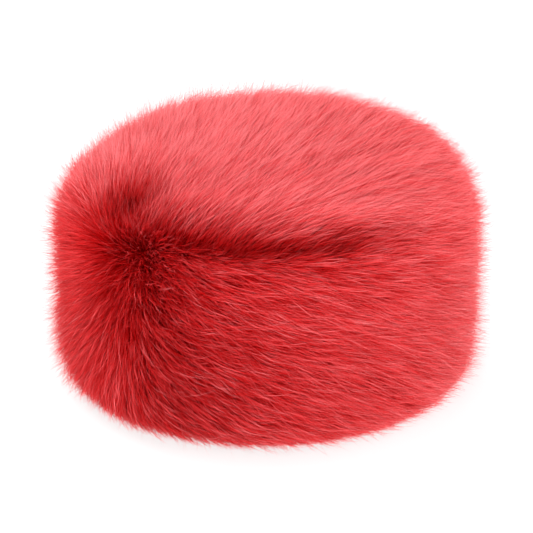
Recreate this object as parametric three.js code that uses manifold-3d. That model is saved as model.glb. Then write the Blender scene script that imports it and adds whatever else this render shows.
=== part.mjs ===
// A faux fur toque: a tall pillbox hat of deep red pile, standing on its own rim.
// The head goes in from below. A cloth wall and a domed cloth tip carry the pile, which is sewn
// from two pieces: a strip round the side and an oval on top. They meet in a parting near the
// upper edge. The pile is combed round the side, a little downwards, and across the top.
// Millimetres, +Z up. The origin is on the floor, in the middle of the head opening, and the
// front of the hat faces -Y.

import * as THREE from "three";
import { mergeVertices } from "three/addons/utils/BufferGeometryUtils.js";
import Module from "manifold-3d";

const wasm = await Module();
wasm.setup();

// The head opening is an oval for a head of about 59 cm.
const headHalfWidth = 90;
const headHalfDepth = 98;

// The cloth under the pile
const clothThick = 2;
const wallHeight = 100;
const hemHeight = 12; // the cloth is turned in and doubled at the rim
const tipRise = 8; // of the domed tip, from its edge to its middle
const gap = 0.3; // between pieces that touch

// The pile. Out is the distance from the head opening, square to it.
const pileOut = 30; // the side's outer face, to the tips of the locks
const pileTop = 134; // the top's highest point, to the tips of the locks
const edgeRadius = 45; // the round upper edge, to the tips of the locks
const lockStand = 7.5; // how far a lock's tip stands out of the body of the pile
const hemClear = 2; // the pile stops this far above the floor
const hemRadius = 20; // the round lower edge of the body
const topDome = 1.5;
const partingAngle = (42 * Math.PI) / 180; // the parting's slope, from level
const partingHalf = 0.6; // half the parting's width

// The centre of the round upper edge, in a slice through the hat
const edgeOut = pileOut - edgeRadius;
const edgeZ = pileTop - topDome - edgeRadius;
const bodyRadius = edgeRadius - lockStand;
const bodyOut = pileOut - lockStand;
const seam = { out: clothThick + gap, z: wallHeight + 3 };
const pileBase = wallHeight + clothThick + 2 * gap; // where the top's pile starts, at its edge

const around = 44; // sections round the hat
const quarter = Math.PI / 2;

const palette = {
  pile: { color: 0xd8343a, roughness: 0.75, metalness: 0 },
  cloth: { color: 0x9c1a20, roughness: 0.95, metalness: 0 },
};

// A point round the oval: its place, the way out and the way round, anticlockwise from above
function oval(turn) {
  const x = headHalfWidth * Math.cos(turn);
  const y = headHalfDepth * Math.sin(turn);
  const out = new THREE.Vector3(headHalfDepth * Math.cos(turn), headHalfWidth * Math.sin(turn), 0);
  out.normalize();
  const along = new THREE.Vector3(-out.y, out.x, 0);
  return { x, y, out, along };
}

// share shrinks the oval towards its middle, and out moves the point square to it.
function place(turn, { share = 1, out = 0, z }) {
  const at = oval(turn);
  return new THREE.Vector3(share * at.x + out * at.out.x, share * at.y + out * at.out.y, z);
}

function solid(points, faces) {
  const geometry = new THREE.BufferGeometry();
  const flat = faces.flat().flatMap((i) => points[i].toArray());
  geometry.setAttribute("position", new THREE.Float32BufferAttribute(flat, 3));
  const merged = mergeVertices(geometry, 1e-3);
  const triVerts = new Uint32Array(merged.index.array);
  const vertProperties = merged.attributes.position.array;
  return new wasm.Manifold(new wasm.Mesh({ numProp: 3, vertProperties, triVerts }));
}

// A ring of cloth or pile: a closed profile, listed anticlockwise with out to the right and z up,
// carried round the oval. A row with share 0 is a pole on the axis.
function revolve(profile) {
  const points = [];
  const faces = [];
  for (let i = 0; i < around; i++) {
    const turn = (2 * Math.PI * i) / around;
    profile.forEach((row) => points.push(place(turn, row)));
  }
  const rows = profile.length;
  const isPole = (k) => profile[k].share === 0;
  for (let i = 0; i < around; i++) {
    const here = i * rows;
    const next = ((i + 1) % around) * rows;
    for (let k = 0; k < rows; k++) {
      const up = (k + 1) % rows;
      if (!isPole(k)) faces.push([here + k, next + k, here + up]);
      if (!isPole(up)) faces.push([here + up, next + k, next + up]);
    }
  }
  const open = profile.some((row) => row.share === 0);
  const closed = open ? faces.filter((face) => new Set(face).size === 3) : faces;
  return solid(points, closed);
}

function sideWall() {
  return revolve([
    { out: -clothThick, z: 0 },
    { out: clothThick, z: 0 },
    { out: clothThick, z: wallHeight },
    { out: 0, z: wallHeight },
    { out: 0, z: hemHeight },
    { out: -clothThick, z: hemHeight - clothThick },
  ]);
}

// The height of the tip's cloth above its edge
const tipHeight = (share) => tipRise * (1 - share * share);

// Rows from the middle to the edge of a domed sheet, whose edge is at this height
function domed(low) {
  const rows = [0, 0.45, 0.75].map((share) => ({ share, z: low + tipHeight(share) }));
  return [...rows, { out: clothThick, z: low }];
}

function crownTip() {
  const low = wallHeight + gap;
  return revolve([...domed(low), ...domed(low + clothThick).reverse()]);
}

// A point on the body's round upper edge, in a slice
function onEdge(angle) {
  return { out: edgeOut + bodyRadius * Math.cos(angle), z: edgeZ + bodyRadius * Math.sin(angle) };
}

// A point on the parting, this far from the seam and to one side of it
function onParting(far, side) {
  return {
    out: seam.out + far * Math.cos(partingAngle) - side * partingHalf * Math.sin(partingAngle),
    z: seam.z + far * Math.sin(partingAngle) + side * partingHalf * Math.cos(partingAngle),
  };
}

const partingDepth = 14; // where the parting opens into the round edge
const sideEdgeAngles = [0.5, 0.25, 0];
const tipEdgeAngles = [0.9, 1.2, quarter];

function sideBody() {
  const hem = [0, 0.33, 0.67, 1].map((share) => ({
    out: bodyOut - hemRadius + hemRadius * Math.cos(share * quarter),
    z: hemClear + hemRadius - hemRadius * Math.sin(share * quarter),
  }));
  return revolve([
    { out: seam.out, z: hemClear },
    ...hem.reverse(),
    { out: bodyOut, z: (hemRadius + edgeZ) / 2 },
    ...sideEdgeAngles.toReversed().map(onEdge),
    onParting(partingDepth, -1),
    { out: seam.out, z: seam.z - 1 },
  ]);
}

function tipBody() {
  const top = onEdge(quarter).z;
  const edgeShare = 1 + edgeOut / headHalfWidth;
  const over = [0.55, 0.28].map((share) => ({ share, z: top + topDome * (1 - share / edgeShare) }));
  return revolve([
    ...domed(pileBase),
    onParting(0, 1),
    onParting(partingDepth, 1),
    ...tipEdgeAngles.map(onEdge),
    ...over,
    { share: 0, z: top + topDome },
  ]);
}

// One lock's path: it leaves along the surface's normal, turned by lean, and lies over to lay.
function lockPoint({ root, normal, flow, length, lean, lay }, t) {
  const angle = lean + (lay - lean) * t;
  const scale = length / (lay - lean);
  return root
    .clone()
    .addScaledVector(normal, scale * (Math.sin(angle) - Math.sin(lean)))
    .addScaledVector(flow, scale * (Math.cos(lean) - Math.cos(angle)));
}

// A lock's sections from where it leaves the body to its pointed tip
const lockSections = [
  { t: 0.4, halfWidth: 10.5, halfThick: 5 },
  { t: 0.7, halfWidth: 9.5, halfThick: 4 },
];

function lockSolid(lock) {
  const side = new THREE.Vector3().crossVectors(lock.normal, lock.flow).normalize();
  const points = [];
  for (const { t, halfWidth, halfThick } of lockSections) {
    const at = lockPoint(lock, t);
    const ahead = lockPoint(lock, t + 0.01).sub(at).normalize();
    const lift = new THREE.Vector3().crossVectors(ahead, side).normalize();
    points.push(at.clone().addScaledVector(side, halfWidth));
    points.push(at.clone().addScaledVector(lift, halfThick));
    points.push(at.clone().addScaledVector(side, -halfWidth));
    points.push(at.clone().addScaledVector(lift, -halfThick));
  }
  points.push(lockPoint(lock, 1));
  const faces = [
    [2, 1, 0],
    [3, 2, 0],
  ];
  const tip = points.length - 1;
  const last = tip - 4;
  for (let k = 0; k < 4; k++) {
    const next = (k + 1) % 4;
    for (let low = 0; low < last; low += 4) {
      faces.push([low + k, low + next, low + 4 + k]);
      faces.push([low + next, low + 4 + next, low + 4 + k]);
    }
    faces.push([last + k, last + next, tip]);
  }
  const made = solid(points, faces);
  return made.volume() > 0 ? made : solid(points, faces.map((face) => face.toReversed()));
}

// The same uneven number from -1 to 1 for the same two whole numbers
function uneven(i, k) {
  const wave = Math.sin(i * 12.9898 + k * 78.233) * 43758.5453;
  return 2 * (wave - Math.floor(wave)) - 1;
}

const degrees = Math.PI / 180;

// Rows of locks on the side, from the rim up. tilt turns the way out up from level, and combed is
// how far below level the pile runs.
const sideRows = [
  { z: 13, tilt: -24, length: 38, combed: 12 },
  { z: 30, tilt: -8, length: 44, combed: 12 },
  { z: 47, tilt: 0, length: 45, combed: 12 },
  { z: 64, tilt: 2, length: 45, combed: 11 },
  { z: 80, tilt: 8, length: 45, combed: 9 },
  { z: 94, tilt: 17, length: 43, combed: 7 },
];
const locksInRow = 26;
const sideLean = 28;
const sideLay = 82;

function sideLocks() {
  return sideRows.flatMap(({ z, tilt, length, combed }, row) =>
    Array.from({ length: locksInRow }, (_, k) => {
      const turn = (2 * Math.PI * (k + 0.5 * (row % 2) + 0.22 * uneven(k, row))) / locksInRow;
      const { out, along } = oval(turn);
      const up = tilt * degrees;
      const normal = out.clone().multiplyScalar(Math.cos(up));
      normal.z = Math.sin(up);
      const down = new THREE.Vector3().crossVectors(along, normal);
      const comb = (combed + 6 * uneven(k, row + 10)) * degrees;
      const flow = along.clone().multiplyScalar(Math.cos(comb)).addScaledVector(down, -Math.sin(comb));
      return {
        root: place(turn, { out: clothThick, z: z + 2.5 * uneven(k, row + 20) }),
        normal,
        flow: flow.addScaledVector(normal, -flow.dot(normal)).normalize(),
        length: length * (1 + 0.08 * uneven(k, row + 30)),
        lean: sideLean * degrees,
        lay: sideLay * degrees,
      };
    }),
  );
}

// Locks on top, in staggered rows across the way that the pile is combed
const topCombed = 25 * degrees; // from +X towards +Y
const topLength = 38;
const topLean = 24;
const topLay = 82;
const topStep = { along: 23, across: 16 };
const topReach = 0.97; // of the oval
const edgeFan = 50; // how far the way up turns outwards at the edge

function topLocks() {
  const combed = new THREE.Vector3(Math.cos(topCombed), Math.sin(topCombed), 0);
  const across = new THREE.Vector3(-combed.y, combed.x, 0);
  const locks = [];
  for (let i = -5; i <= 5; i++) {
    for (let k = -7; k <= 7; k++) {
      const stagger = 0.5 * (Math.abs(k) % 2);
      const root = combed
        .clone()
        .multiplyScalar((i + stagger - 0.25 + 0.2 * uneven(i, k)) * topStep.along)
        .addScaledVector(across, (k + 0.15 * uneven(i, k + 40)) * topStep.across);
      const share = Math.hypot(root.x / headHalfWidth, root.y / headHalfDepth);
      if (share > topReach) continue;
      root.z = wallHeight + clothThick + tipHeight(share);
      const fan = edgeFan * degrees * share ** 3;
      const outward = oval(Math.atan2(root.y / headHalfDepth, root.x / headHalfWidth)).out;
      const normal = outward.multiplyScalar(Math.sin(fan));
      normal.z = Math.cos(fan);
      const flow = combed.clone().applyAxisAngle(new THREE.Vector3(0, 0, 1), 0.12 * uneven(i, k + 80));
      locks.push({
        root,
        normal,
        flow: flow.addScaledVector(normal, -flow.dot(normal)).normalize(),
        length: topLength * (1 + 0.08 * uneven(i, k + 120)),
        lean: topLean * degrees,
        lay: topLay * degrees,
      });
    }
  }
  return locks;
}

// Everything on one side of the parting: what the locks of that piece may fill
function beside(side) {
  const far = 60;
  const reach = onParting(far, side);
  const start = onParting(0, side);
  const top = pileTop + 30;
  const wide = reach.out;
  return side < 0
    ? revolve([
        { out: seam.out, z: 0.5 },
        { out: wide, z: 0.5 },
        reach,
        { out: seam.out, z: start.z - 0.2 },
      ])
    : revolve([...domed(pileBase), start, reach, { out: wide, z: top }, { share: 0, z: top }]);
}

function furred(body, locks, room) {
  const all = wasm.Manifold.union([body, ...locks.map(lockSolid)]);
  return all.intersect(room);
}

function mesh(name, shape, finish) {
  const { vertProperties, triVerts, numProp } = shape.getMesh();
  const position = new Float32Array((vertProperties.length / numProp) * 3);
  for (let i = 0; i < position.length / 3; i++) {
    position.set(vertProperties.subarray(i * numProp, i * numProp + 3), 3 * i);
  }
  const geometry = new THREE.BufferGeometry();
  geometry.setAttribute("position", new THREE.BufferAttribute(position, 3));
  geometry.setIndex(new THREE.BufferAttribute(triVerts, 1));
  geometry.computeVertexNormals();
  const made = new THREE.Mesh(geometry, new THREE.MeshStandardMaterial(finish));
  made.name = name;
  return made;
}

const toque = new THREE.Group();
toque.add(mesh("side_wall", sideWall(), palette.cloth));
toque.add(mesh("crown_tip", crownTip(), palette.cloth));
toque.add(mesh("side_fur", furred(sideBody(), sideLocks(), beside(-1)), palette.pile));
toque.add(mesh("crown_fur", furred(tipBody(), topLocks(), beside(1)), palette.pile));

export default toque;
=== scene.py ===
import math

import bmesh
import bpy
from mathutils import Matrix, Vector


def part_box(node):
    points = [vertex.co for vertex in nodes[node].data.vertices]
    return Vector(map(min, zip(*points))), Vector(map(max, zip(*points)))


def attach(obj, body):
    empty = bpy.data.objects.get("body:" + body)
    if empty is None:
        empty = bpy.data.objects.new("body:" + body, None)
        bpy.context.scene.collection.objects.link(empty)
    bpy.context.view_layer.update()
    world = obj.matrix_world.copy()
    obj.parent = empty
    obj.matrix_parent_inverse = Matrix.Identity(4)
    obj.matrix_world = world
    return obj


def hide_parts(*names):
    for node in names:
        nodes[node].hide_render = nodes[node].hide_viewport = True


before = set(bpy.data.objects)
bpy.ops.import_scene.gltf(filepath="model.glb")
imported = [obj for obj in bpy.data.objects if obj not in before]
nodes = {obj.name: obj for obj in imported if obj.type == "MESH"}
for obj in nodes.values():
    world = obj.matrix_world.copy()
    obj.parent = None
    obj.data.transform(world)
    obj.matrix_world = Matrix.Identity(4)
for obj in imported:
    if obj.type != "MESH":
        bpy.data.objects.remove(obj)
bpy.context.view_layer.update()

mm = 0.001
scene = bpy.context.scene


def linearColour(hexText):
    values = [int(hexText[i:i + 2], 16) / 255 for i in (1, 3, 5)]
    return [v / 12.92 if v <= 0.04045 else ((v + 0.055) / 1.055) ** 2.4 for v in values] + [1.0]


# Adds a node with its settings. Inputs are values, sockets or nodes, by name or in order.
def addNode(tree, kind, inputs=None, **settings):
    made = tree.nodes.new(kind)
    for key, value in settings.items():
        setattr(made, key, value)
    sockets = [s for s in made.inputs if s.enabled]
    pairs = inputs.items() if isinstance(inputs, dict) else enumerate(inputs or [])
    for key, value in pairs:
        socket = sockets[key] if isinstance(key, int) else next(s for s in sockets if s.name == key)
        if isinstance(value, bpy.types.Node):
            value = next(s for s in value.outputs if s.enabled)
        if isinstance(value, bpy.types.NodeSocket):
            tree.links.new(value, socket)
        elif value is not None:
            socket.default_value = value
    return made


def between(low, high, share):
    return low + (high - low) * share


def smooth(low, high, value):
    t = min(1.0, max(0.0, (value - low) / (high - low)))
    return t * t * (3 - 2 * t)


# A turn round the hat, from half a turn back to half a turn on. The front is a quarter back.
def facing(turn):
    return (turn + math.pi) % (2 * math.pi) - math.pi


# The oval of the head opening and the cloth on it, from the frame
wallLow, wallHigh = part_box("side_wall")
tipLow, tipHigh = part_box("crown_tip")
cloth = {"thickness": 2 * mm, "gap": 0.3 * mm}
oval = {
    "halfWidth": wallHigh.x - cloth["thickness"],
    "halfDepth": wallHigh.y - cloth["thickness"],
}

# The dense pile's form in a slice: out is measured from the head opening, square to it.
pileForm = {
    "out": 30.5 * mm,
    "top": 134.8 * mm,
    "edgeRadius": 45 * mm,  # the round upper edge
    "hemRadius": 19 * mm,  # the round lower edge
    "floorGap": 2.5 * mm,
    "hemTuck": 3 * mm,  # how far the lowest row is from the cloth
    "partingAngle": math.radians(47),  # where the two coats meet on the upper edge
    "parting": 0.6,  # how far the crown's hair stands upright there
    "partingReach": 25 * mm,
    "flatShares": (0.68, 0.5, 0.32, 0.15, 0.0),  # rows on the flat crown, by how far out they are
    "flatFrom": 0.83,  # the flat crown's edge, on the same scale
    "hemSteps": 6,
    "wallSteps": 8,
    "edgeSteps": 12,
    "sections": 120,
}
# Where the hair grows from: heights on the cloth wall, and a share of the tip
rootForm = {
    "lowest": 1.5 * mm,
    "hem": 2 * mm,
    "overHem": 24 * mm,
    "underEdge": 84 * mm,
    "hemPower": 1.3,
    "tipShare": 0.8,  # the flat crown's hair grows inside it, the round edge's outside
}


def placeOnOval(turn, out, z, share=1.0):
    x = oval["halfWidth"] * math.cos(turn)
    y = oval["halfDepth"] * math.sin(turn)
    square = Vector((oval["halfDepth"] * math.cos(turn), oval["halfWidth"] * math.sin(turn), 0))
    square.normalize()
    return Vector((share * x + out * square.x, share * y + out * square.y, z))


# Rows of the side's pile, from the hem to the parting
def sideRows(hemCentre, edgeCentre, seamZ):
    inner = cloth["thickness"] + cloth["gap"]
    rows = [{
        "out": inner + pileForm["hemTuck"], "z": pileForm["floorGap"], "rootZ": rootForm["lowest"],
    }]
    for k in range(pileForm["hemSteps"] + 1):
        step = k / pileForm["hemSteps"]
        angle = math.radians(-90 + 90 * step)
        rows.append({
            "out": hemCentre[0] + pileForm["hemRadius"] * math.cos(angle),
            "z": hemCentre[1] + pileForm["hemRadius"] * math.sin(angle),
            "rootZ": between(rootForm["hem"], rootForm["overHem"], step ** rootForm["hemPower"]),
        })
    for k in range(1, pileForm["wallSteps"] + 1):
        step = k / pileForm["wallSteps"]
        rows.append({
            "out": pileForm["out"],
            "z": between(hemCentre[1], edgeCentre[1], step),
            "rootZ": between(rootForm["overHem"], rootForm["underEdge"], step),
        })
    for k in range(1, pileForm["edgeSteps"] + 1):
        step = k / pileForm["edgeSteps"]
        angle = pileForm["partingAngle"] * k / pileForm["edgeSteps"]
        rows.append({
            "out": edgeCentre[0] + pileForm["edgeRadius"] * math.cos(angle),
            "z": edgeCentre[1] + pileForm["edgeRadius"] * math.sin(angle),
            "rootZ": between(rootForm["underEdge"], seamZ, step),
        })
    for row in rows:
        row.update(share=1.0, rootShare=1.0, rootOut=inner, crown=0.0)
    return rows


# Rows of the crown's pile, from the parting to the middle
def crownRows(edgeCentre, seamZ):
    inner = cloth["thickness"] + cloth["gap"]
    rows = []
    for k in range(1, pileForm["edgeSteps"] + 1):
        step = k / pileForm["edgeSteps"]
        angle = between(pileForm["partingAngle"], math.pi / 2, step)
        rows.append({
            "out": edgeCentre[0] + pileForm["edgeRadius"] * math.cos(angle),
            "z": edgeCentre[1] + pileForm["edgeRadius"] * math.sin(angle),
            "share": 1.0,
            "rootShare": between(1.0, rootForm["tipShare"], step),
            "rootOut": inner * (1 - step),
        })
    edgeShare = 1 + edgeCentre[0] / oval["halfWidth"]
    for share in pileForm["flatShares"]:
        rows.append({
            "out": 0.0,
            "z": pileForm["top"],
            "share": share * edgeShare / pileForm["flatFrom"],
            "rootShare": share * rootForm["tipShare"] / pileForm["flatFrom"],
            "rootOut": 0.0,
        })
    rise = tipHigh.z - tipLow.z - cloth["thickness"]
    for row in rows:
        row["crown"] = 1.0
        row["rootZ"] = seamZ + rise * (1 - row["rootShare"] ** 2)
    return rows


# Rows of the whole pile. Each has a point on the pile's outer form, the point on the cloth that
# its hair grows from, and how far it is from the seam in the parting.
def pileRows():
    seamZ = tipLow.z + cloth["thickness"]
    hemCentre = (pileForm["out"] - pileForm["hemRadius"], pileForm["floorGap"] + pileForm["hemRadius"])
    edgeCentre = (pileForm["out"] - pileForm["edgeRadius"], pileForm["top"] - pileForm["edgeRadius"])
    rows = sideRows(hemCentre, edgeCentre, seamZ)
    seam = rows[-1]
    seam["seam"] = True
    rows += crownRows(edgeCentre, seamZ)
    for row in rows:
        row["seamFar"] = math.hypot(row["z"] - seam["z"], row["out"] - seam["out"])
        if row["share"] < 1:
            row["seamFar"] = pileForm["edgeRadius"]
        row["overSeam"] = row["seamFar"] * (2 * row["crown"] - 1)
    return rows


# The pile is combed away from a whorl, near the upper edge at the front left.
whorl = {
    "turn": math.radians(-90 - 55),
    "z": 104 * mm,
    "out": 29 * mm,
    "calm": 58 * mm,  # from here on the hair leans as far as it does elsewhere
    "leastRun": 0.42,  # how far the hair runs over the surface at the whorl itself
    "leftReach": (60 * mm, 240 * mm),  # where the hair combed to the left turns back
    "rightReach": (2 * mm, 48 * mm),  # where the hair combed to the right follows the hat
    "leftTurn": math.radians(135),  # as far round as this, hair on its left is combed to the left
}
whorlPlace = placeOnOval(whorl["turn"], whorl["out"], whorl["z"])
# The lean of the tips near the whorl and far from it
leans = {
    "side": {"near": math.radians(52), "far": math.radians(68), "reach": 70 * mm},
    "crown": {"near": math.radians(45), "far": math.radians(76), "reach": 180 * mm},
}


def runAt(outer):
    far = (outer - whorlPlace).length / whorl["calm"]
    return between(whorl["leastRun"], 1.0, smooth(0, 1, far))


def leanAt(outer, crown):
    lean = leans["crown"] if crown else leans["side"]
    far = (outer - whorlPlace).length
    return between(lean["near"], lean["far"], smooth(0, lean["reach"], far))


# The crease between the side and the crown shows at the front, where the pile lies lower.
crease = {
    "from": math.radians(-140),
    "full": math.radians(-118),
    "fading": math.radians(-80),
    "to": math.radians(-42),
    "depth": 0.5,
    "over": 6.5 * mm,  # how far it reaches over the seam, and under it
    "under": 9 * mm,
    "shoulder": 0.12,  # how much the crown's pile swells behind it
    "shoulderFar": 17 * mm,
    "shoulderWidth": 8 * mm,
}
# The two coats are combed apart over a longer stretch, and into each other further round.
parting = {
    "from": math.radians(-175),
    "full": math.radians(-145),
    "fading": math.radians(-68),
    "to": math.radians(-28),
    "reach": 40 * mm,
}
# A few more places lie lower or stand further out.
dents = {
    "dimple": {
        "turn": math.radians(-143), "z": 126 * mm, "in": 18 * mm, "depth": 0.28, "radius": 15 * mm,
    },
    "dimple back": {
        "turn": math.radians(-145), "z": 132 * mm, "in": 29 * mm, "depth": 0.24, "radius": 14 * mm,
    },
    "left shoulder": {
        "turn": math.radians(168), "z": 120 * mm, "in": 8 * mm, "depth": 0.2, "radius": 45 * mm,
    },
    "left bulge": {
        "turn": math.radians(-174), "z": 92 * mm, "in": 4 * mm, "depth": -0.1, "radius": 28 * mm,
    },
    "left fringe": {
        "turn": math.radians(-142), "z": 10 * mm, "in": 6 * mm, "depth": -0.25, "radius": 40 * mm,
    },
    "back rise": {
        "turn": math.radians(60), "z": 128 * mm, "in": 20 * mm, "depth": -0.06, "radius": 65 * mm,
    },
}
for dent in dents.values():
    dent["place"] = placeOnOval(dent["turn"], pileForm["out"] - dent["in"], dent["z"])


# How far a stretch of the upper edge, the crease or the parting, shows at a turn
def shownAt(stretch, turn):
    turn = facing(turn)
    ended = smooth(stretch["fading"], stretch["to"], turn)
    return smooth(stretch["from"], stretch["full"], turn) * (1 - ended)


# The pile's length at a place, as a share of its length elsewhere
def trimAt(turn, row, outer):
    creased = shownAt(crease, turn)
    if row["crown"]:
        far = row["seamFar"] / crease["over"]
        trim = 1 - crease["depth"] * creased * math.exp(-far ** 2)
        far = (row["seamFar"] - crease["shoulderFar"]) / crease["shoulderWidth"]
        trim += crease["shoulder"] * creased * math.exp(-far * far)
    else:
        far = row["seamFar"] / crease["under"]
        trim = 1 - crease["depth"] * creased * math.exp(-far)
    for dent in dents.values():
        far = (outer - dent["place"]).length / dent["radius"]
        trim *= 1 - dent["depth"] * math.exp(-far * far)
    return trim


# The side's hair spreads from the whorl and then runs round the hat, a little downwards.
sideComb = {
    "down": (0.0, math.radians(21)),  # how far it points down, at the left and at the right
    "downTurns": (math.radians(-130), math.radians(-50)),
    "fromCrease": math.radians(24),  # how much more it points down under the crease
    "creaseReach": 45 * mm,
    "radius": 115 * mm,  # makes a turn round the hat a length along it
    "hemLevel": (2 * mm, 14 * mm),  # the hair at the hem lies level, and turns down above it
}
# The crown's hair runs across the hat, and turns back over the crease.
crownComb = {"back": 0.6, "reach": 25 * mm}
seamHeight = next(row for row in pileRows() if "seam" in row)["z"]


def combRound(turn, row, outer):
    along = Vector((-oval["halfWidth"] * math.sin(turn), oval["halfDepth"] * math.cos(turn), 0))
    along.normalize()
    far = (turn - whorl["turn"] + whorl["leftTurn"]) % (2 * math.pi) - whorl["leftTurn"]
    far *= sideComb["radius"]
    rise = row["z"] - whorl["z"]
    angle = math.atan2(rise, far)
    if far < 0 < rise:
        angle -= 2 * math.pi
    settled = smooth(*whorl["rightReach"], far)
    if far < 0:
        settled = smooth(*whorl["leftReach"], -far)
    down = between(*sideComb["down"], smooth(*sideComb["downTurns"], facing(turn)))
    under = (seamHeight - row["z"]) / sideComb["creaseReach"]
    near = shownAt(crease, turn) * (1 - smooth(0, 1, under))
    down += sideComb["fromCrease"] * near * (1 - smooth(crease["full"], crease["to"], facing(turn)))
    angle = between(angle, -down, settled)
    tangent = Vector((0, 0, 1)) * math.sin(angle) * smooth(*sideComb["hemLevel"], row["z"])
    return along * math.cos(angle) + tangent


def combAcross(turn, row, outer):
    away = outer - whorlPlace
    away.z = 0
    near = shownAt(crease, turn) * math.exp(-row["seamFar"] / crownComb["reach"])
    return away.normalized() + Vector((0, crownComb["back"] * near, 0))


def flowAt(turn, row, outer, crown):
    share = smooth(-parting["reach"], parting["reach"], row["overSeam"])
    share = between(share, crown, shownAt(parting, turn))
    return combRound(turn, row, outer).lerp(combAcross(turn, row, outer), share)


# Painted light and shade in the tips' tone: they're paler where light falls, on the crown, above all
# at its left, and on the side towards the right, and deep with painted shade at the whorl and where
# the pile lies low.
paintedShading = {
    # painted light: the side paler towards the right, the crown paler towards its left
    "right": 0.22,
    "crownRight": -0.62,
    # painted shade at the whorl, where the hair is seen end-on
    "whorl": 0.6,
    # painted shade where the pile lies low
    "hollow": 1.4,  # where the pile lies low
    "sideReach": 72 * mm,  # how far the whorl's depth of colour reaches on the side
    "crownReach": 45 * mm,
    "fromSide": -25 * mm,  # it changes from the side's to the crown's here, from the seam
    "toCrown": 12 * mm,
    "halfWidth": 120 * mm,
}


# The painted light and shade in the hairs' tone at a place on the pile
def paintedShadingAt(row, outer, trim):
    over = smooth(paintedShading["fromSide"], paintedShading["toCrown"], row["overSeam"])
    side = paintedShading["right"] * max(0.0, outer.x) / paintedShading["halfWidth"]
    top = 1 + paintedShading["crownRight"] * outer.x / paintedShading["halfWidth"]
    reach = between(paintedShading["sideReach"], paintedShading["crownReach"], over)
    far = (outer - whorlPlace).length / reach
    hollow = max(0.0, 1 - trim)
    pale = between(side, top, over)
    return pale - paintedShading["whorl"] * math.exp(-far * far) - paintedShading["hollow"] * hollow


# Faces between rings of points. A ring of one point is a pole.
def joinRings(build, pairs):
    for low, high in pairs:
        if len(low) == len(high) == 1:
            continue
        count = max(len(low), len(high))
        for i in range(count):
            j = (i + 1) % count
            if len(high) == 1:
                build.faces.new((low[i], low[j], high[0]))
            elif len(low) == 1:
                build.faces.new((low[0], high[j], high[i]))
            else:
                build.faces.new((low[i], low[j], high[j], high[i]))


# What the pile surface tells each hair at its place: the ways up and along, the depth of the pile,
# whether the coat grows there, how far the hair runs and leans, its length, and the painted light
# and shade in its tone
surfaceVectors = ("pileUp", "pileComb")
surfaceNumbers = ("pileDepth", "pileGrows", "pileRun", "pileLean", "pileTrim", "pilePaintedShading")


# A surface over the whole hat, for one of the two coats to grow on
def makePileSurface(name, crown):
    build = bmesh.new()
    layers = build.verts.layers
    vectors = {key: layers.float_vector.new(key) for key in surfaceVectors}
    numbers = {key: layers.float.new(key) for key in surfaceNumbers}
    rings = []
    for row in pileRows():
        ring = []
        count = 1 if row["share"] == 0 else pileForm["sections"]
        for i in range(count):
            turn = 2 * math.pi * i / pileForm["sections"]
            outer = placeOnOval(turn, row["out"], row["z"], row["share"])
            root = placeOnOval(turn, row["rootOut"], row["rootZ"], row["rootShare"])
            up = outer - root
            apart = shownAt(parting, turn) * math.exp(-row["seamFar"] / pileForm["partingReach"])
            upright = up.normalized().lerp(Vector((0, 0, 1)), pileForm["parting"] * crown * apart)
            upright.normalize()
            comb = flowAt(turn, row, outer, crown)
            comb -= upright * comb.dot(upright)
            comb.normalize()
            trim = trimAt(turn, row, outer)
            vert = build.verts.new(outer)
            vert[vectors["pileUp"]] = upright
            vert[vectors["pileComb"]] = comb
            vert[numbers["pileDepth"]] = up.dot(upright)
            vert[numbers["pileGrows"]] = 1.0 if row["crown"] == crown or "seam" in row else 0.0
            vert[numbers["pileRun"]] = runAt(outer)
            vert[numbers["pileLean"]] = leanAt(outer, crown)
            vert[numbers["pileTrim"]] = trim
            vert[numbers["pilePaintedShading"]] = paintedShadingAt(row, outer, trim)
            ring.append(vert)
        rings.append(ring)
    joinRings(build, zip(rings, rings[1:]))
    mesh = bpy.data.meshes.new(name)
    build.to_mesh(mesh)
    build.free()
    surface = bpy.data.objects.new(name, mesh)
    scene.collection.objects.link(surface)
    return surface


# One coat of hair on a pile surface, as a tree. Every hair starts under its place on the surface
# and leans over as it rises. Hairs gather at guides, which makes the locks. In the functions below,
# put adds a node, given holds the tree's inputs, and fields holds the values kept on the points.
coatInputs = {
    "Pile surface": "Geometry",
    "Hairs per square metre": "Float",
    "Hair width": "Float",
    "Length": "Float",
    "Length spread": "Float",
    "Lean at root": "Float",
    "Lean at tip": "Float",
    "Lean spread": "Float",
    "Comb spread": "Float",
    "Swerve": "Float",
    "Locks per square metre": "Float",
    "Lock pull": "Float",
    "Lock spread": "Float",
    "Tufts per square metre": "Float",
    "Tuft pull": "Float",
    "Tone": "Float",
    "Painted shading strength": "Float",
    "Tone spread": "Float",
    "Lowest": "Float",
    "Longest": "Float",
    "Shown from": "Float",
    "Patch size": "Float",
    "Patch turn": "Float",
    "Patch length": "Float",
    "Segments": "Int",
    "Seed": "Int",
    "Finish": "Material",
}
guideValues = ("Lean", "Turn", "Length", "Tone")
guideKinds = {"lock": "Locks per square metre", "tuft": "Tufts per square metre"}
hairVectors = ("hairStart", "hairComb", "lockPull", "tuftPull")
hairNumbers = (
    "hairStartDepth", "hairLean", "hairLength", "hairTone", "hairTwist", "hairSwerve", "along", "side",
)
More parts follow.
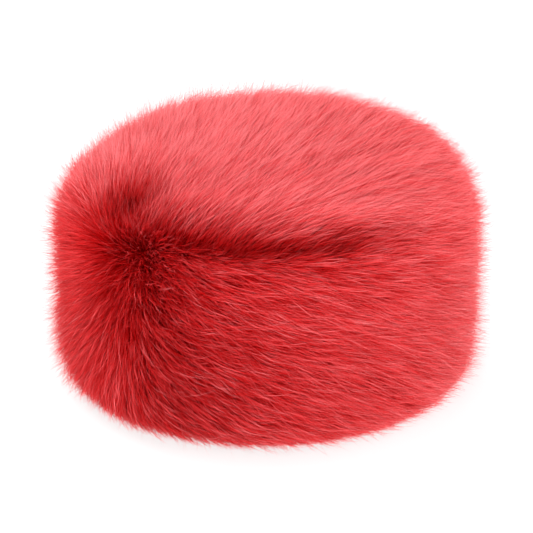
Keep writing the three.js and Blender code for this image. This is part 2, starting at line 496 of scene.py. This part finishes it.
# Each kind of point and of dice has its own seed, and a guide's values take the four after its own.
seeds = {
    "hairs": 0, "lock": 11, "tuft": 23, "Lean": 41, "Turn": 42, "Length": 43, "Tone": 44,
    "twist": 45, "swerve": 46,
}
hairForm = {
    "tuftShares": {"Lean": 0.5, "Turn": 0.5, "Length": 1.3, "Tone": 0.3},  # the tufts' part in each
    # shorter hairs end deeper in the pile and are deeper in tone: partly painted shade
    "toneByLength": 0.4,  # longer hairs are paler
    "disorder": 5.5,  # how many times more the hair turns this way and that at the whorl
    "twist": 1.1,  # how far a ribbon turns about itself, either way
    "pullPower": 1.5,  # the tips are pulled to the guides more than the lower halves
    "swervePower": 2.0,
    "tipWidth": 0.5,
    "taperFrom": 0.5,
    "patchApart": 0.7,  # how far from the patches of turn the noise is read for those of length
    "patchNoise": (0.25, 0.75),  # the noise's lowest and highest, nearly everywhere
    "sliver": 0.004,  # a hair's half width on its map
}


# Keeps values on the points of a geometry, under the names that the fields read
def keepValues(put, geometry, values):
    vectors = surfaceVectors + hairVectors
    for name, value in values.items():
        geometry = put("GeometryNodeStoreNamedAttribute", {
            "Geometry": geometry, "Name": name, "Value": value,
        }, data_type="FLOAT_VECTOR" if name in vectors else "FLOAT", domain="POINT")
    return geometry


# Points over the part of the surface that grows hair
def scatterPoints(put, given, fields, density, seed):
    grown = put("ShaderNodeMath", [density, fields["pileGrows"]], operation="MULTIPLY")
    seed = put("ShaderNodeMath", [given["Seed"], seed], operation="ADD")
    return put("GeometryNodeDistributePointsOnFaces", {
        "Mesh": given["Pile surface"], "Density": grown, "Seed": seed,
    })


# A number for each point, from most below nought to most above it
def rollDice(put, given, seed, most=1.0):
    seed = put("ShaderNodeMath", [given["Seed"], seed], operation="ADD")
    return put("FunctionNodeRandomValue", {"Min": -most, "Max": most, "Seed": seed}, data_type="FLOAT")


# A hair's own dice mixed with its guides', so that the hairs of a lock keep together
def mixDice(put, given, fields, value):
    own = rollDice(put, given, seeds[value])
    lock = put("ShaderNodeMath", [fields["lock" + value], given["Lock spread"]], operation="MULTIPLY")
    both = put("ShaderNodeMath", [own, lock], operation="ADD")
    tuftShare = hairForm["tuftShares"][value]
    tuft = put("ShaderNodeMath", [fields["tuft" + value], tuftShare], operation="MULTIPLY")
    return put("ShaderNodeMath", [both, tuft], operation="ADD")


# Patches where the whole pile turns and stands higher or lower, from smooth noise
def patchNoise(put, given, fields, offset, strength):
    scale = put("ShaderNodeMath", [1.0, given["Patch size"]], operation="DIVIDE")
    place = put("ShaderNodeVectorMath", [fields["here"], (offset, 0.0, 0.0)], operation="ADD")
    noise = put("ShaderNodeTexNoise", {"Vector": place, "Scale": scale, "Detail": 1.0})
    centred = put("ShaderNodeMapRange", [noise.outputs["Fac"], *hairForm["patchNoise"], -1.0, 1.0])
    return put("ShaderNodeMath", [centred, strength], operation="MULTIPLY")


# Hairs as points, each with the values of the lock and the tuft that it belongs to
def plantHairs(put, given, fields):
    here = fields["here"]
    hairs = scatterPoints(put, given, fields, given["Hairs per square metre"], seeds["hairs"])
    hairs = keepValues(put, hairs, {"hairStart": here})
    for key, density in guideKinds.items():
        guides = scatterPoints(put, given, fields, given[density], seeds[key])
        guides = keepValues(put, guides, {
            "guide" + value: rollDice(put, given, seeds[key] + k)
            for k, value in enumerate(guideValues, 1)
        })
        nearest = put("GeometryNodeSampleNearest", [guides, here], domain="POINT")
        place = put("GeometryNodeSampleIndex", [guides, here, nearest], data_type="FLOAT_VECTOR")
        taken = {key + "Pull": put("ShaderNodeVectorMath", [place, here], operation="SUBTRACT")}
        for value in guideValues:
            taken[key + value] = put("GeometryNodeSampleIndex", [
                guides, fields["guide" + value], nearest,
            ], data_type="FLOAT")
        hairs = keepValues(put, hairs, taken)
    return hairs


# The lean, the combing, the length and the tone of every hair
def shapeHairs(put, given, fields, hairs):
    dice = {value: mixDice(put, given, fields, value) for value in guideValues}
    lean = put("ShaderNodeMath", [dice["Lean"], given["Lean spread"]], operation="MULTIPLY")
    turn = put("ShaderNodeMath", [dice["Turn"], given["Comb spread"]], operation="MULTIPLY")
    patchTurn = patchNoise(put, given, fields, 0.0, given["Patch turn"])
    turn = put("ShaderNodeMath", [turn, patchTurn], operation="ADD")
    disorder = put("ShaderNodeMapRange", [fields["pileRun"], 0.0, 1.0, hairForm["disorder"], 1.0])
    turn = put("ShaderNodeMath", [turn, disorder], operation="MULTIPLY")
    comb = put("ShaderNodeVectorRotate", {
        "Vector": fields["pileComb"], "Axis": fields["pileUp"], "Angle": turn,
    }, rotation_type="AXIS_ANGLE")

    length = put("ShaderNodeMath", [dice["Length"], given["Length spread"], given["Length"]],
                 operation="MULTIPLY_ADD")
    patchLength = patchNoise(put, given, fields, hairForm["patchApart"], given["Patch length"])
    length = put("ShaderNodeMath", [length, patchLength], operation="ADD")
    length = put("ShaderNodeMath", [length, fields["pileTrim"]], operation="MULTIPLY")
    length = put("ShaderNodeMath", [length, given["Longest"]], operation="MINIMUM")

    # Each coat takes the painted light and shade in its tone by its own strength
    tone = put("ShaderNodeMath", [fields["pilePaintedShading"], given["Painted shading strength"], given["Tone"]],
               operation="MULTIPLY_ADD")
    toneDice = put("ShaderNodeMath", [dice["Length"], hairForm["toneByLength"], dice["Tone"]],
                   operation="MULTIPLY_ADD")
    tone = put("ShaderNodeMath", [toneDice, given["Tone spread"], tone],
               operation="MULTIPLY_ADD", use_clamp=True)
    return keepValues(put, hairs, {
        "hairLean": lean,
        "hairComb": comb,
        "hairLength": length,
        "hairTone": tone,
        "hairTwist": rollDice(put, given, seeds["twist"], hairForm["twist"]),
        "hairSwerve": rollDice(put, given, seeds["swerve"]),
        "hairStartDepth": fields["pileDepth"],
    })


# A hair is a flat ribbon that ends in a point. along runs from root to tip, and side from one edge
# to the other, but at the very tip it's nought, where the two corners are merged.
def makeRibbon(put, given, fields):
    rungs = put("ShaderNodeMath", [given["Segments"], 1.0], operation="ADD")
    grid = put("GeometryNodeMeshGrid", [1.0, 1.0, 2, rungs])
    axes = put("ShaderNodeSeparateXYZ", [fields["here"]])
    along = put("ShaderNodeMapRange", [axes.outputs["Y"], -0.5, 0.5, given["Shown from"], 1.0])
    ended = put("ShaderNodeMath", [along, 0.999], operation="LESS_THAN")
    across = put("ShaderNodeMath", [axes.outputs["X"], 2.0], operation="MULTIPLY")
    side = put("ShaderNodeMath", [across, ended], operation="MULTIPLY")
    ribbon = keepValues(put, grid, {"along": along, "side": side})
    halfSide = put("ShaderNodeMath", [fields["side"], 0.5], operation="MULTIPLY")
    pointed = put("ShaderNodeCombineXYZ", [halfSide, axes.outputs["Y"], 0.0])
    ribbon = put("GeometryNodeSetPosition", {"Geometry": ribbon, "Position": pointed})
    return put("GeometryNodeMergeByDistance", {"Geometry": ribbon, "Distance": 0.001})


# Lays the ribbons along the surface: how far a hair has risen and run at each place along it
def layHairs(put, given, fields, hairs):
    along = fields["along"]
    comb = fields["hairComb"]
    rootLean = put("ShaderNodeMath", [given["Lean at root"], fields["hairLean"]], operation="ADD")
    tipLean = put("ShaderNodeMath", [given["Lean at tip"], fields["hairLean"]], operation="ADD")
    tipLean = put("ShaderNodeMath", [tipLean, fields["pileLean"]], operation="ADD")
    lean = put("ShaderNodeMapRange", [along, 0.0, 1.0, rootLean, tipLean])
    sines = [put("ShaderNodeMath", [a], operation="SINE") for a in (rootLean, tipLean, lean)]
    cosines = [put("ShaderNodeMath", [a], operation="COSINE") for a in (rootLean, lean)]
    rise = put("ShaderNodeMapRange", [sines[2], sines[0], sines[1], 0.0, 1.0], clamp=False)
    rise = put("ShaderNodeMath", [rise, fields["hairLength"]], operation="MULTIPLY")
    fallen = put("ShaderNodeMath", cosines, operation="SUBTRACT")
    spanned = put("ShaderNodeMath", [sines[1], sines[0]], operation="SUBTRACT")
    run = put("ShaderNodeMath", [fallen, spanned], operation="DIVIDE")
    reach = put("ShaderNodeMath", [fields["hairStartDepth"], fields["hairLength"]],
                operation="MULTIPLY")
    run = put("ShaderNodeMath", [run, reach], operation="MULTIPLY")
    run = put("ShaderNodeMath", [run, fields["pileRun"]], operation="MULTIPLY")

    # Where the hair has run to over the pile surface, and the pull of its guides
    moved = put("ShaderNodeVectorMath", {"Vector": comb, "Scale": run}, operation="SCALE")
    moved = put("ShaderNodeVectorMath", [fields["hairStart"], moved], operation="ADD")
    for pull, strength in (("lockPull", "Lock pull"), ("tuftPull", "Tuft pull")):
        amount = put("ShaderNodeMath", [along, hairForm["pullPower"]], operation="POWER")
        amount = put("ShaderNodeMath", [amount, given[strength]], operation="MULTIPLY")
        pulled = put("ShaderNodeVectorMath", {"Vector": fields[pull], "Scale": amount},
                     operation="SCALE")
        moved = put("ShaderNodeVectorMath", [moved, pulled], operation="ADD")
    ground, up, depth = [
        put("GeometryNodeSampleNearestSurface", {
            "Mesh": given["Pile surface"], "Value": value, "Sample Position": moved,
        }, data_type=kind)
        for value, kind in (
            (fields["here"], "FLOAT_VECTOR"),
            (fields["pileUp"], "FLOAT_VECTOR"),
            (fields["pileDepth"], "FLOAT"),
        )
    ]
    up = put("ShaderNodeVectorMath", [up], operation="NORMALIZE")
    below = put("ShaderNodeMath", [rise, 1.0], operation="SUBTRACT")
    below = put("ShaderNodeMath", [below, depth], operation="MULTIPLY")
    lifted = put("ShaderNodeVectorMath", {"Vector": up, "Scale": below}, operation="SCALE")
    spine = put("ShaderNodeVectorMath", [ground, lifted], operation="ADD")

    # The ribbon's way along and across
    beside = put("ShaderNodeVectorMath", [up, comb], operation="CROSS_PRODUCT")
    beside = put("ShaderNodeVectorMath", [beside], operation="NORMALIZE")
    swerved = put("ShaderNodeMath", [along, hairForm["swervePower"]], operation="POWER")
    swerved = put("ShaderNodeMath", [swerved, fields["hairSwerve"]], operation="MULTIPLY")
    swerved = put("ShaderNodeMath", [swerved, given["Swerve"]], operation="MULTIPLY")
    swerved = put("ShaderNodeVectorMath", {"Vector": beside, "Scale": swerved}, operation="SCALE")
    spine = put("ShaderNodeVectorMath", [spine, swerved], operation="ADD")
    upPart = put("ShaderNodeVectorMath", {"Vector": up, "Scale": cosines[1]}, operation="SCALE")
    runPart = put("ShaderNodeVectorMath", {"Vector": comb, "Scale": sines[2]}, operation="SCALE")
    ahead = put("ShaderNodeVectorMath", [upPart, runPart], operation="ADD")
    wide = put("ShaderNodeVectorRotate", {
        "Vector": beside, "Axis": ahead, "Angle": fields["hairTwist"],
    }, rotation_type="AXIS_ANGLE")
    taper = put("ShaderNodeMapRange", [along, hairForm["taperFrom"], 1.0, 1.0, hairForm["tipWidth"]])
    width = put("ShaderNodeMath", [taper, given["Hair width"]], operation="MULTIPLY")
    width = put("ShaderNodeMath", [width, fields["side"]], operation="MULTIPLY")
    width = put("ShaderNodeMath", [width, 0.5], operation="MULTIPLY")
    wide = put("ShaderNodeVectorMath", {"Vector": wide, "Scale": width}, operation="SCALE")
    place = put("ShaderNodeVectorMath", [spine, wide], operation="ADD")

    # No hair goes through the floor
    lowest = put("ShaderNodeCombineXYZ", [-10.0, -10.0, given["Lowest"]])
    place = put("ShaderNodeVectorMath", [place, lowest], operation="MAXIMUM")
    return put("GeometryNodeSetPosition", {"Geometry": hairs, "Position": place})


# The map's u is the hair's tone and v runs from root to tip. Where the pile parts and lies low, v is
# cut short, so that the hairs take the deeper colours of their lower halves: painted shade in the
# crease and the dents.
def mapHairs(put, fields, hairs):
    tone = put("ShaderNodeMath", [fields["side"], hairForm["sliver"], fields["hairTone"]],
               operation="MULTIPLY_ADD")
    shown = put("ShaderNodeMath", [fields["pileTrim"], 1.0], operation="MINIMUM")
    shown = put("ShaderNodeMath", [shown, fields["along"]], operation="MULTIPLY")
    spot = put("ShaderNodeCombineXYZ", [tone, shown, 0.0])
    return put("GeometryNodeStoreNamedAttribute", {
        "Geometry": hairs, "Name": "OFBake", "Value": spot,
    }, data_type="FLOAT2", domain="CORNER")


def coatTree():
    tree = bpy.data.node_groups.new("Combed pile", "GeometryNodeTree")
    for name, kind in coatInputs.items():
        tree.interface.new_socket(name=name, in_out="INPUT", socket_type="NodeSocket" + kind)
    tree.interface.new_socket(name="Hair", in_out="OUTPUT", socket_type="NodeSocketGeometry")

    def put(kind, inputs=None, **settings):
        return addNode(tree, kind, inputs, **settings)

    given = put("NodeGroupInput").outputs
    fields = {"here": put("GeometryNodeInputPosition")}
    guideNumbers = [key + value for key in ("guide", *guideKinds) for value in guideValues]
    for name in (*surfaceNumbers, *hairNumbers, *guideNumbers):
        fields[name] = put("GeometryNodeInputNamedAttribute", {"Name": name}, data_type="FLOAT")
    for name in surfaceVectors + hairVectors:
        fields[name] = put("GeometryNodeInputNamedAttribute", {"Name": name}, data_type="FLOAT_VECTOR")

    hairs = plantHairs(put, given, fields)
    hairs = shapeHairs(put, given, fields, hairs)
    ribbon = makeRibbon(put, given, fields)
    hairs = put("GeometryNodeInstanceOnPoints", {"Points": hairs, "Instance": ribbon})
    hairs = put("GeometryNodeRealizeInstances", [hairs])
    hairs = layHairs(put, given, fields, hairs)
    hairs = mapHairs(put, fields, hairs)
    hairs = put("GeometryNodeSetMaterial", {"Geometry": hairs, "Material": given["Finish"]})
    put("NodeGroupOutput", [hairs])
    return tree


# The modifier's result as a plain mesh object that keeps nothing but its map
def settle(source, name):
    graph = bpy.context.evaluated_depsgraph_get()
    mesh = bpy.data.meshes.new_from_object(source.evaluated_get(graph))
    mesh.name = name
    for layer in list(mesh.attributes):
        if layer.name != "OFBake" and not layer.is_required and not layer.is_internal:
            mesh.attributes.remove(layer)
    made = bpy.data.objects.new(name, mesh)
    scene.collection.objects.link(made)
    return made


def growCoat(name, surface, tree, values):
    source = bpy.data.objects.new(name + ".source", surface.data)
    scene.collection.objects.link(source)
    modifier = source.modifiers.new("Pile", "NODES")
    modifier.node_group = tree
    sockets = {s.name: s.identifier for s in tree.interface.items_tree if s.in_out == "INPUT"}
    for key, value in values.items():
        modifier[sockets[key]] = value
    made = settle(source, name)
    bpy.data.objects.remove(source)
    made.data.materials.clear()
    made.data.materials.append(values["Finish"])
    print("grew", name, "of", sum(len(p.vertices) - 2 for p in made.data.polygons), "triangles")
    return made


# Modacrylic pile, dyed and combed: coral at the tips, with a soft sheen along the hair. Each hair
# turns deep red and near black towards its root, painted shade deep in the pile where the hairs
# crowd together, and the palest pink tips partly paint the highlight on lit hair.
def modacrylicPile():
    values = {
        # the dark root and the deep red shaft are painted shade where the hairs crowd together
        "root": "#740102",
        "shaft": "#c80406",
        "deepTip": "#c80406",
        "middleTip": "#ea363a",
        # the palest tips are partly a painted highlight
        "paleTip": "#fd8488",
        "shaftPart": (0.25, 0.6),  # where along a hair the root turns to shaft, and that to tip
        "tipPart": (0.5, 0.85),
        "roughness": 0.42,
        "ior": 1.49,
        "specular": 0.3,
    }
    made = bpy.data.materials.new("Combed modacrylic pile")
    made.use_nodes = True
    tree = made.node_tree
    shader = tree.nodes["Principled BSDF"]
    spot = addNode(tree, "ShaderNodeUVMap", uv_map="OFBake")
    axes = addNode(tree, "ShaderNodeSeparateXYZ", [spot])
    tip = addNode(tree, "ShaderNodeValToRGB", [axes.outputs["X"]])
    stops = tip.color_ramp.elements
    stops[0].color = linearColour(values["deepTip"])
    stops[1].color = linearColour(values["paleTip"])
    stops.new(0.5).color = linearColour(values["middleTip"])
    below = addNode(tree, "ShaderNodeMapRange", [axes.outputs["Y"], *values["shaftPart"], 0.0, 1.0])
    shaft = addNode(tree, "ShaderNodeMix", {
        "Factor": below, "A": linearColour(values["root"]), "B": linearColour(values["shaft"]),
    }, data_type="RGBA")
    above = addNode(tree, "ShaderNodeMapRange", [axes.outputs["Y"], *values["tipPart"], 0.0, 1.0])
    colour = addNode(tree, "ShaderNodeMix", {
        "Factor": above, "A": shaft, "B": tip.outputs["Color"],
    }, data_type="RGBA")
    tree.links.new(next(s for s in colour.outputs if s.enabled), shader.inputs["Base Color"])
    shader.inputs["Roughness"].default_value = values["roughness"]
    shader.inputs["IOR"].default_value = values["ior"]
    shader.inputs["Specular IOR Level"].default_value = values["specular"]
    return made


# A dark fill where the pile crowds together near the cloth: painted shade between the hairs, without any
# sheen
def paintedShadeFill():
    values = {"dark": "#5a0102", "light": "#7c0305", "lock": 3 * mm, "roughness": 0.9}
    made = bpy.data.materials.new("Painted shade in the pile")
    made.use_nodes = True
    tree = made.node_tree
    shader = tree.nodes["Principled BSDF"]
    place = addNode(tree, "ShaderNodeTexCoord").outputs["Object"]
    noise = addNode(tree, "ShaderNodeTexNoise", {"Vector": place, "Scale": 1 / values["lock"]})
    colour = addNode(tree, "ShaderNodeMix", {
        "Factor": noise.outputs["Fac"],
        "A": linearColour(values["dark"]), "B": linearColour(values["light"]),
    }, data_type="RGBA")
    tree.links.new(next(s for s in colour.outputs if s.enabled), shader.inputs["Base Color"])
    shader.inputs["Roughness"].default_value = values["roughness"]
    shader.inputs["Specular IOR Level"].default_value = 0.0
    return made


# Knitted polyester backing: matte, with fine ribs of the knit, and painted shade darkening the
# grooves between them
def knittedBacking():
    values = {
        "groove": "#7d0f15", "rib": "#a81c23", "stitch": 1.6 * mm, "height": 0.15 * mm,
        "bandAtScaleOne": 0.31,  # the distance between the wave's bands at a scale of 1
        "roughness": 0.9,
    }
    made = bpy.data.materials.new("Knitted polyester backing")
    made.use_nodes = True
    tree = made.node_tree
    shader = tree.nodes["Principled BSDF"]
    place = addNode(tree, "ShaderNodeTexCoord").outputs["Object"]
    ribs = addNode(tree, "ShaderNodeTexWave", {
        "Vector": place, "Scale": values["bandAtScaleOne"] / values["stitch"],
    }, bands_direction="Z")
    colour = addNode(tree, "ShaderNodeMix", {
        "Factor": ribs.outputs["Fac"],
        "A": linearColour(values["groove"]), "B": linearColour(values["rib"]),
    }, data_type="RGBA")
    tree.links.new(next(s for s in colour.outputs if s.enabled), shader.inputs["Base Color"])
    bump = addNode(tree, "ShaderNodeBump", {"Height": ribs.outputs["Fac"], "Distance": values["height"]})
    tree.links.new(bump.outputs["Normal"], shader.inputs["Normal"])
    shader.inputs["Roughness"].default_value = values["roughness"]
    return made


# The crowded lower half of the pile, which fills the space between the hairs: a closed body from
# near the cloth to a share of the pile's height, dark with painted shade
crowdedForm = {"low": 0.02, "high": 0.45, "trimPower": 1.5}


def makeBase(name, crown, finish):
    rows = [row for row in pileRows() if row["crown"] == crown]
    if crown:
        rows = [next(row for row in pileRows() if "seam" in row)] + rows
    build = bmesh.new()
    rings = []
    for level, order in ((crowdedForm["high"], rows), (crowdedForm["low"], rows[::-1])):
        for row in order:
            ring = []
            for i in range(1 if row["share"] == 0 else pileForm["sections"]):
                turn = 2 * math.pi * i / pileForm["sections"]
                outer = placeOnOval(turn, row["out"], row["z"], row["share"])
                root = placeOnOval(turn, row["rootOut"], row["rootZ"], row["rootShare"])
                trim = trimAt(turn, dict(row, crown=crown), outer)
                height = level * min(1.0, trim) ** crowdedForm["trimPower"]
                ring.append(build.verts.new(root.lerp(outer, height)))
            rings.append(ring)
    joinRings(build, zip(rings, rings[1:] + rings[:1]))
    bmesh.ops.recalc_face_normals(build, faces=build.faces)
    mesh = bpy.data.meshes.new(name)
    build.to_mesh(mesh)
    build.free()
    mesh.materials.append(finish)
    made = bpy.data.objects.new(name, mesh)
    scene.collection.objects.link(made)
    return made


backing = knittedBacking()
for name in ("side_wall", "crown_tip"):
    nodes[name].data.materials.clear()
    nodes[name].data.materials.append(backing)
print("finished the cloth wall and the tip")

# The coats from the cloth outwards. Lengths are shares of the pile's height. A real fibre is under
# 0.1 mm thick, too fine to show, so a ribbon is drawn as wide as a few that lie together.
combedPile = modacrylicPile()
allCoats = {
    "Lowest": 0.3 * mm,
    "Longest": 1.4,
    "Locks per square metre": 900000.0,
    "Tufts per square metre": 40000.0,
    "Segments": 2,
    "Lock spread": 0.4,
    "Shown from": 0.42,
    "Patch size": 14 * mm,
    "Patch turn": math.radians(13),
    "Patch length": 0.07,
    "Lean at root": math.radians(14),
    "Lean at tip": 0.0,
    "Finish": combedPile,
}
# The coats deeper in the pile have deeper tones: partly their own colour, partly painted shade inside
# the pile.
coats = {
    "undercoat": {
        "Hairs per square metre": 170000.0, "Hair width": 0.6 * mm, "Length": 0.7,
        "Length spread": 0.04, "Lean spread": 0.1, "Comb spread": 0.15, "Swerve": 1 * mm,
        "Lock pull": 0.3, "Tuft pull": 0.2, "Tone": 0.1, "Painted shading strength": 0.1, "Tone spread": 0.1,
    },
    "middlecoat": {
        "Hairs per square metre": 520000.0, "Hair width": 0.42 * mm, "Length": 0.86,
        "Length spread": 0.07, "Lean spread": 0.15, "Comb spread": 0.17, "Swerve": 2 * mm,
        "Lock pull": 0.2, "Tuft pull": 0.2, "Tone": 0.14, "Painted shading strength": 0.2, "Tone spread": 0.26,
    },
    "topcoat": {
        "Hairs per square metre": 600000.0, "Hair width": 0.4 * mm, "Length": 0.94,
        "Length spread": 0.09, "Lean spread": 0.18, "Comb spread": 0.19, "Swerve": 2.5 * mm,
        "Lock pull": 0.06, "Tuft pull": 0.08, "Tone": 0.24, "Painted shading strength": 0.44, "Tone spread": 0.38,
    },
    "guard_hairs": {
        "Hairs per square metre": 270000.0, "Hair width": 0.29 * mm, "Length": 1.01,
        "Length spread": 0.09, "Lean spread": 0.21, "Comb spread": 0.25, "Swerve": 3.5 * mm,
        "Lock pull": 0.0, "Tuft pull": 0.0, "Tone": 0.41, "Painted shading strength": 0.46, "Tone spread": 0.36,
        "Segments": 3,
    },
    "fly_hairs": {
        "Hairs per square metre": 170000.0, "Hair width": 0.14 * mm, "Length": 1.26,
        "Length spread": 0.13, "Lean spread": 0.25, "Comb spread": 0.35, "Swerve": 6 * mm,
        "Lock pull": 0.0, "Tuft pull": 0.0, "Tone": 0.65, "Painted shading strength": 0.33, "Tone spread": 0.1,
        "Segments": 3, "Tufts per square metre": 900000.0, "Lean at tip": math.radians(-32),
    },
}
# The crown's hair is finer, closer and a little shorter than the side's.
parts = {
    "side": {"crown": 0.0, "seed": 1, "density": 1.0, "width": 1.0, "length": 1.0},
    "crown": {"crown": 1.0, "seed": 501, "density": 1.25, "width": 0.78, "length": 0.97},
}
seedStep = 100
shadeFill = paintedShadeFill()
growth = coatTree()
pieces = []
for part, own in parts.items():
    pieces.append((makeBase(part + "_pile_shade_fill", own["crown"], shadeFill), part + "_fur"))
    surface = makePileSurface(part + "Surface", own["crown"])
    for k, (coat, values) in enumerate(coats.items()):
        values = allCoats | {"Seed": own["seed"] + seedStep * k} | values
        values["Hairs per square metre"] *= own["density"]
        values["Hair width"] *= own["width"]
        values["Length"] *= own["length"]
        pieces.append((growCoat(part + "_" + coat, surface, growth, values), part + "_fur"))
    bpy.data.objects.remove(surface)
    print("grew the pile of the", part)

for piece, node in pieces:
    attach(piece, "root")
    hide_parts(node)


# Floor, light and camera. The floor glows evenly, as a light table does, so that the hat's shadow
# on it stays faint. Lamps that aren't glossy fill the shadows without a shine.
studio = {
    "floorSize": 30.0,
    "floorColour": "#898989",
    "floorGlow": 0.8,
    "worldStrength": 0.1,
    "aim": (0, 0, 0.07),
    "lamps": [
        {"name": "top light", "place": (-0.4, 0.25, 1.4), "size": 1.4, "power": 21.5, "glossy": True},
        {"name": "front light", "place": (0, -1.15, 1.5), "size": 1.3, "power": 12, "glossy": False},
        {"name": "right light", "place": (1.2, -1.2, 0.6), "size": 1.2, "power": 4, "glossy": True},
        {"name": "side light", "place": (1.5, 0.5, 0.4), "size": 1.2, "power": 21, "glossy": True},
        {"name": "low light", "place": (0.1, -1.6, 0.15), "size": 1.2, "power": 22, "glossy": False},
        {"name": "left rim light", "place": (-1.1, 1.3, 0.3), "size": 1.2, "power": 4, "glossy": True},
        {"name": "left light", "place": (-0.9, -1.35, 0.5), "size": 1.2, "power": 7, "glossy": False},
        {"name": "back light", "place": (0, 1.3, 1.3), "size": 1.3, "power": 8, "glossy": True},
    ],
}
floorMesh = bpy.data.meshes.new("floor")
half = studio["floorSize"] / 2
floorCorners = [(-half, -half, 0), (half, -half, 0), (half, half, 0), (-half, half, 0)]
floorMesh.from_pydata(floorCorners, [], [(0, 1, 2, 3)])
floor = bpy.data.objects.new("floor", floorMesh)
scene.collection.objects.link(floor)
# Opal acrylic sheet, lit from below: pale and matte
sheet = bpy.data.materials.new("Lit opal acrylic sheet")
sheet.use_nodes = True
shader = sheet.node_tree.nodes["Principled BSDF"]
shader.inputs["Base Color"].default_value = linearColour(studio["floorColour"])
shader.inputs["Roughness"].default_value = 0.9
shader.inputs["Specular IOR Level"].default_value = 0.1
shader.inputs["Emission Color"].default_value = linearColour("#ffffff")
shader.inputs["Emission Strength"].default_value = studio["floorGlow"]
floorMesh.materials.append(sheet)

world = bpy.data.worlds.new("Studio")
world.use_nodes = True
world.node_tree.nodes["Background"].inputs["Color"].default_value = linearColour("#ffffff")
world.node_tree.nodes["Background"].inputs["Strength"].default_value = studio["worldStrength"]
scene.world = world

for lamp in studio["lamps"]:
    light = bpy.data.lights.new(lamp["name"], "AREA")
    light.shape = "DISK"
    light.size = lamp["size"]
    light.energy = lamp["power"]
    made = bpy.data.objects.new(lamp["name"], light)
    made.location = lamp["place"]
    made.visible_glossy = lamp["glossy"]
    made.rotation_euler = (Vector(studio["aim"]) - made.location).to_track_quat("-Z", "Y").to_euler()
    scene.collection.objects.link(made)
print("lit the studio")

# The camera's angle and distance, and where the middle of the hat is in a frame of 533 pixels
view = {
    "elevation": math.radians(22.5),
    "distance": 1.2,
    "pixelsPerMetre": 211 / 0.12,  # from half the width of the dense pile
    "frame": 533,
    "middle": (0.0, 0.0, 0.067),
    "middlePixel": (266.5, 252.0),
}
camera = bpy.data.objects.new("camera", bpy.data.cameras.new("camera"))
scene.collection.objects.link(camera)
back = Vector((0, -math.cos(view["elevation"]), math.sin(view["elevation"])))
camera.location = Vector(view["middle"]) + back * view["distance"]
focal = view["pixelsPerMetre"] * view["distance"]
camera.data.lens = camera.data.sensor_width * focal / view["frame"]
dip = math.atan((view["frame"] / 2 - view["middlePixel"][1]) / focal)
camera.rotation_euler = (math.pi / 2 - view["elevation"] - dip, 0, 0)
scene.camera = camera
scene.view_settings.view_transform = "Standard"
print("set the camera")
